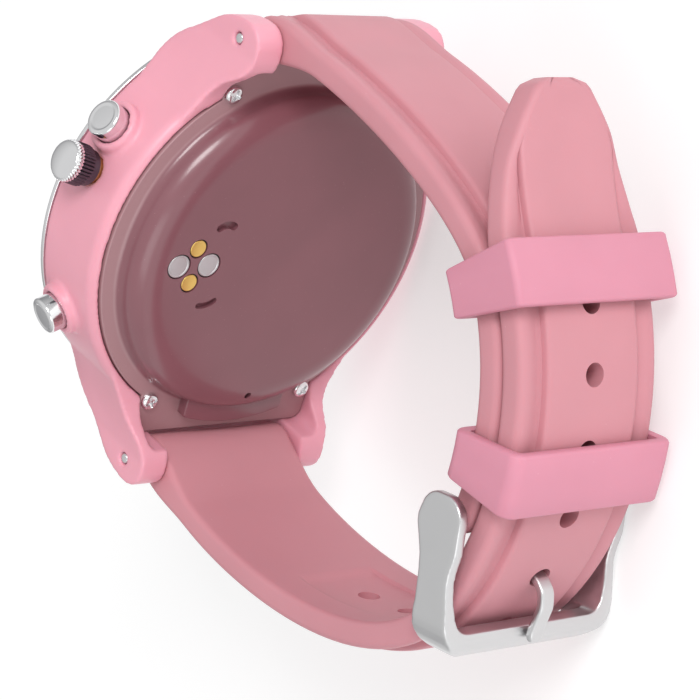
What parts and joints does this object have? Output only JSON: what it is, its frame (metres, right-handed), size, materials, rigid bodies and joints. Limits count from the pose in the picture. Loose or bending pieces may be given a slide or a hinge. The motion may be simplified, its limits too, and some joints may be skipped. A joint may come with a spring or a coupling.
{
  "type": "fitness tracker band",
  "caption": "Round wrist-worn activity tracker with a domed skin-side cover, charging contacts, crown, two pushers and a buckled silicone band.",
  "frame": {"origin": "middle of the back cover's flat skin-side face", "axes": "+X from the dial towards the wrist and closure, +Y to twelve o'clock, +Z to the crown side, with the watch lying on its nine o'clock side"},
  "size_m": [0.0716, 0.0721, 0.052],
  "materials": {
    "case_pink": "satin moulded plastic",
    "cover_pink": "glossy moulded plastic",
    "band_silicone": "matte silicone",
    "keeper_silicone": "matte silicone",
    "polished_steel": "polished",
    "buckle_steel": "blasted and brushed",
    "pin_steel": "drawn",
    "screw_steel": "plated",
    "contact_gold": "gold plated",
    "magnet_nickel": "nickel plated",
    "crystal_glass": "polished",
    "screen_black": "gloss",
    "seal_rubber": "matte",
    "frame_plastic": "moulded",
    "board_green": "solder mask",
    "battery_foil": "foil",
    "pad_foam": "foam",
    "flex_film": "film",
    "tube_brass": "turned"
  },
  "bodies": {
    "watch": {"case_middle": "case_pink", "back_cover": "cover_pink", "short_strap": "band_silicone", "long_strap": "band_silicone", "keeper_fixed": "keeper_silicone", "bezel_ring": "polished_steel", "buckle_pin": "buckle_steel", "lug_pin_upper": "pin_steel", "lug_pin_lower": "pin_steel", "pusher_springs": "pin_steel", "back_screws": "screw_steel", "shield_can": "screw_steel", "vibration_motor": "screw_steel", "charge_pads": "contact_gold", "magnets": "magnet_nickel", "crystal": "crystal_glass", "touch_panel": "crystal_glass", "display_module": "screen_black", "crystal_gasket": "seal_rubber", "cover_gasket": "seal_rubber", "inner_frame": "frame_plastic", "side_switches": "frame_plastic", "microphone": "frame_plastic", "main_board": "board_green", "battery": "battery_foil", "battery_pad": "pad_foam", "charge_flex": "flex_film", "crown_tube": "tube_brass"},
    "crown_sleeve": {"crown_sleeve": "frame_plastic"},
    "crown": {"crown": "polished_steel", "crown_stem": "pin_steel"},
    "pusher_upper": {"pusher_upper": "polished_steel", "pusher_clip_upper": "pin_steel"},
    "pusher_lower": {"pusher_lower": "polished_steel", "pusher_clip_lower": "pin_steel"},
    "keeper_free": {"keeper_free": "keeper_silicone"},
    "buckle": {"buckle_frame": "buckle_steel"},
    "prong": {"buckle_prong": "buckle_steel"}
  },
  "joints": [
    {"name": "crown_press", "type": "slide", "parent": "watch", "child": "crown_sleeve", "axis": [0, -0.309, -0.9511], "range_m": [0, 0.0004], "stiffness_N_per_m": 1200, "springref_m": -0.0003},
    {"name": "crown_turn", "type": "hinge", "parent": "crown_sleeve", "child": "crown", "pos_m": [-0.0104, 0.00834, 0.02568], "axis": [0, 0.309, 0.9511], "continuous": true},
    {"name": "pusher_upper_press", "type": "slide", "parent": "watch", "child": "pusher_upper", "axis": [0, -0.515, -0.8572], "range_m": [0, 0.0006], "stiffness_N_per_m": 1200, "springref_m": -0.0003},
    {"name": "pusher_lower_press", "type": "slide", "parent": "watch", "child": "pusher_lower", "axis": [0, 0.4226, -0.9063], "range_m": [0, 0.0006], "stiffness_N_per_m": 1200, "springref_m": -0.0003},
    {"name": "keeper_slide", "type": "hinge", "parent": "watch", "child": "keeper_free", "pos_m": [0.0176, -0.0016, 0], "axis": [0, 0, 1], "range_deg": [-20, 0]},
    {"name": "buckle_turn", "type": "hinge", "parent": "watch", "child": "buckle", "pos_m": [0.04843, -0.00484, 0], "axis": [0, 0, 1], "range_deg": [-1.2, 2.4]},
    {"name": "prong_turn", "type": "hinge", "parent": "watch", "child": "prong", "pos_m": [0.04843, -0.00484, 0], "axis": [0, 0, 1], "range_deg": [-1.2, 2.4]}
  ],
  "couplings": [
    {"joint": "prong_turn", "follows": "buckle_turn", "ratio": 1}
  ]
}
